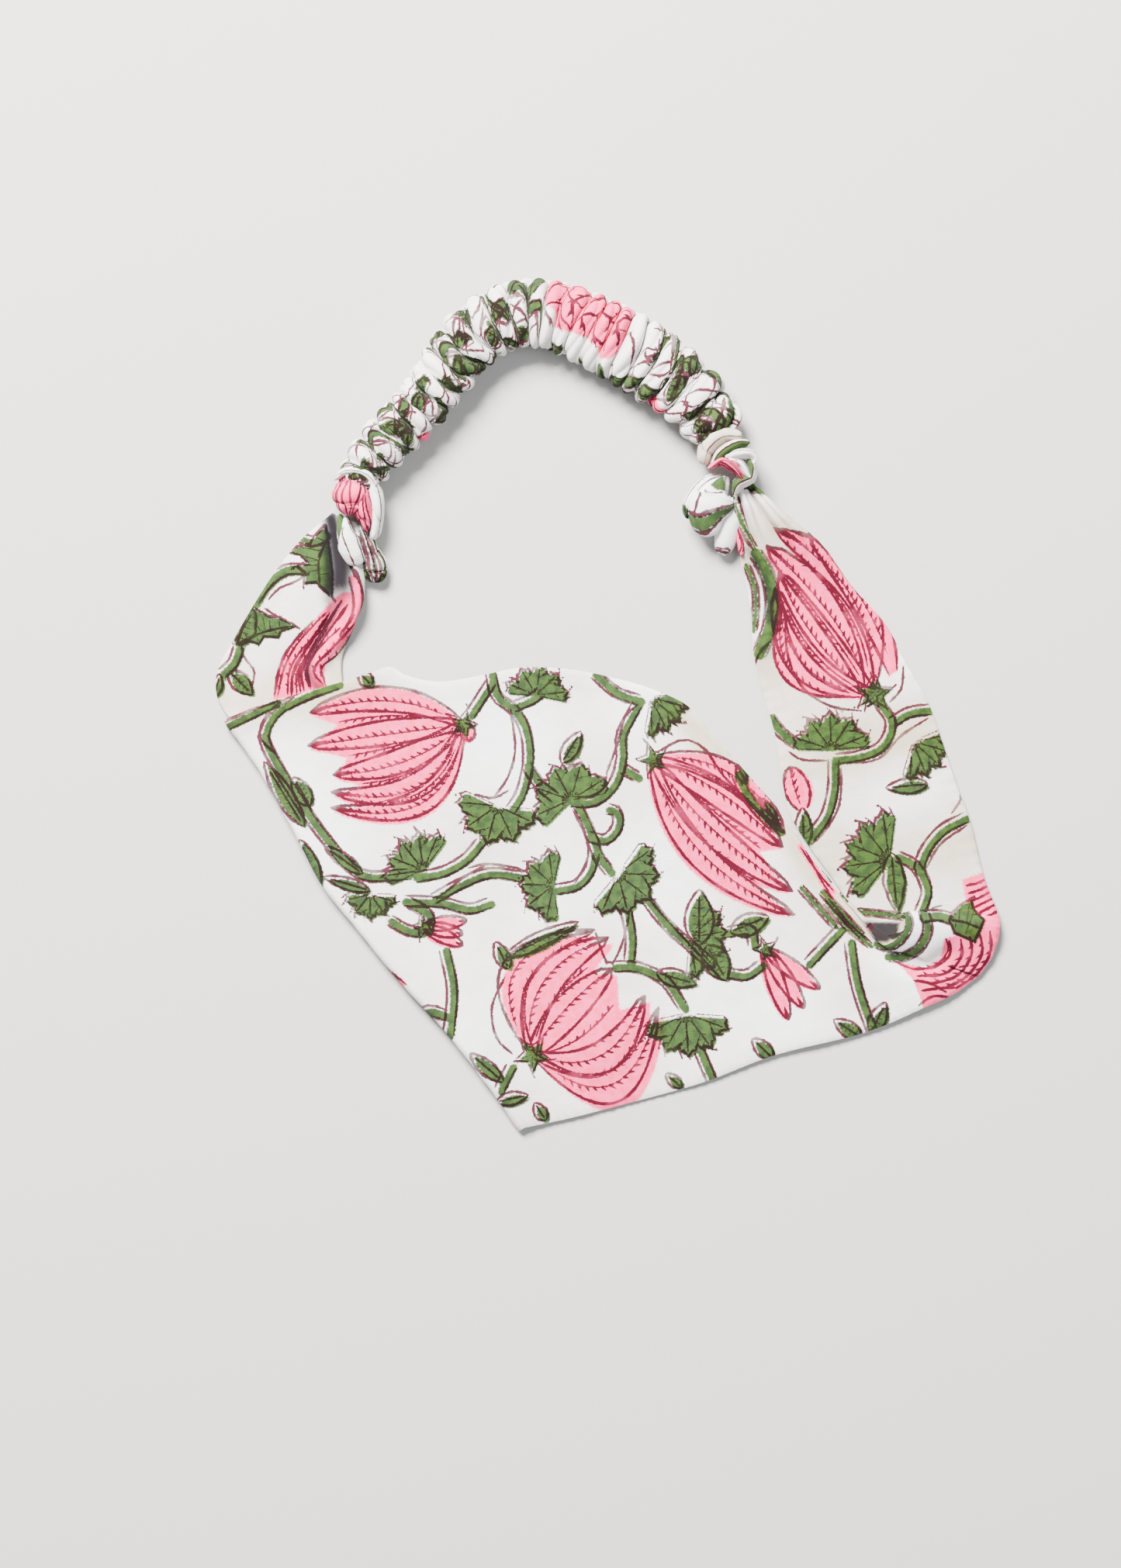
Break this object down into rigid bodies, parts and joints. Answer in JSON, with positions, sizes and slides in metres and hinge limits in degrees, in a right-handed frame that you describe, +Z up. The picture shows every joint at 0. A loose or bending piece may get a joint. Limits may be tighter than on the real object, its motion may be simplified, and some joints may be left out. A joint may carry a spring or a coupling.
{
  "type": "knotted headband",
  "caption": "Wide printed-cotton headband lying flat, folded on itself, with knotted ends and a ruched elastic back.",
  "frame": {"origin": "on the table, under the middle of the box round the headband as it lies", "axes": "+Y points from the wide front to the elastic back, +X to the right seen from above, +Z up from the table"},
  "size_m": [0.2012, 0.219, 0.013],
  "materials": {
    "printed_cotton": "white plain-weave cotton, block printed with pink tulips and green vines outlined in maroon",
    "lining_cotton": "the same white printed cotton, turned to the inside of the fold",
    "ruched_cotton": "printed cotton gathered tightly over the elastic",
    "elastic": "white woven elastic, ribbed",
    "thread": "white sewing thread"
  },
  "bodies": {
    "band": {"front_band_face": "printed_cotton", "front_band_lining": "lining_cotton", "inner_hem_seam": "thread", "outer_hem_seam": "thread", "left_knot": "printed_cotton", "right_knot": "printed_cotton"},
    "back": {"casing_left_flank": "ruched_cotton", "casing_right_flank": "ruched_cotton", "elastic_left_end": "elastic", "elastic_right_end": "elastic", "left_bar_tack": "thread", "right_bar_tack": "thread"},
    "crown": {"casing_crown": "ruched_cotton", "elastic_crown": "elastic"},
    "left_tail": {"left_knot_tail": "printed_cotton"},
    "right_tail": {"right_knot_tail": "printed_cotton"}
  },
  "joints": [
    {"name": "back_fold", "type": "hinge", "parent": "band", "child": "back", "pos_m": [-0.01736, 0.05612, 0.0065], "axis": [0.9946, 0.1036, 0], "range_deg": [0, 90]},
    {"name": "elastic_stretch", "type": "slide", "parent": "back", "child": "crown", "axis": [0, 1, 0], "range_m": [0, 0.07], "stiffness_N_per_m": 60, "deforming": ["casing_left_flank", "casing_right_flank", "elastic_left_end", "elastic_right_end"]},
    {"name": "left_tail_lift", "type": "hinge", "parent": "band", "child": "left_tail", "pos_m": [-0.06137, 0.04339, 0.0033], "axis": [-0.8884, -0.4591, 0], "range_deg": [0, 60]},
    {"name": "right_tail_lift", "type": "hinge", "parent": "band", "child": "right_tail", "pos_m": [0.02735, 0.05306, 0.0019], "axis": [-0.9257, 0.3782, 0], "range_deg": [0, 60]}
  ]
}
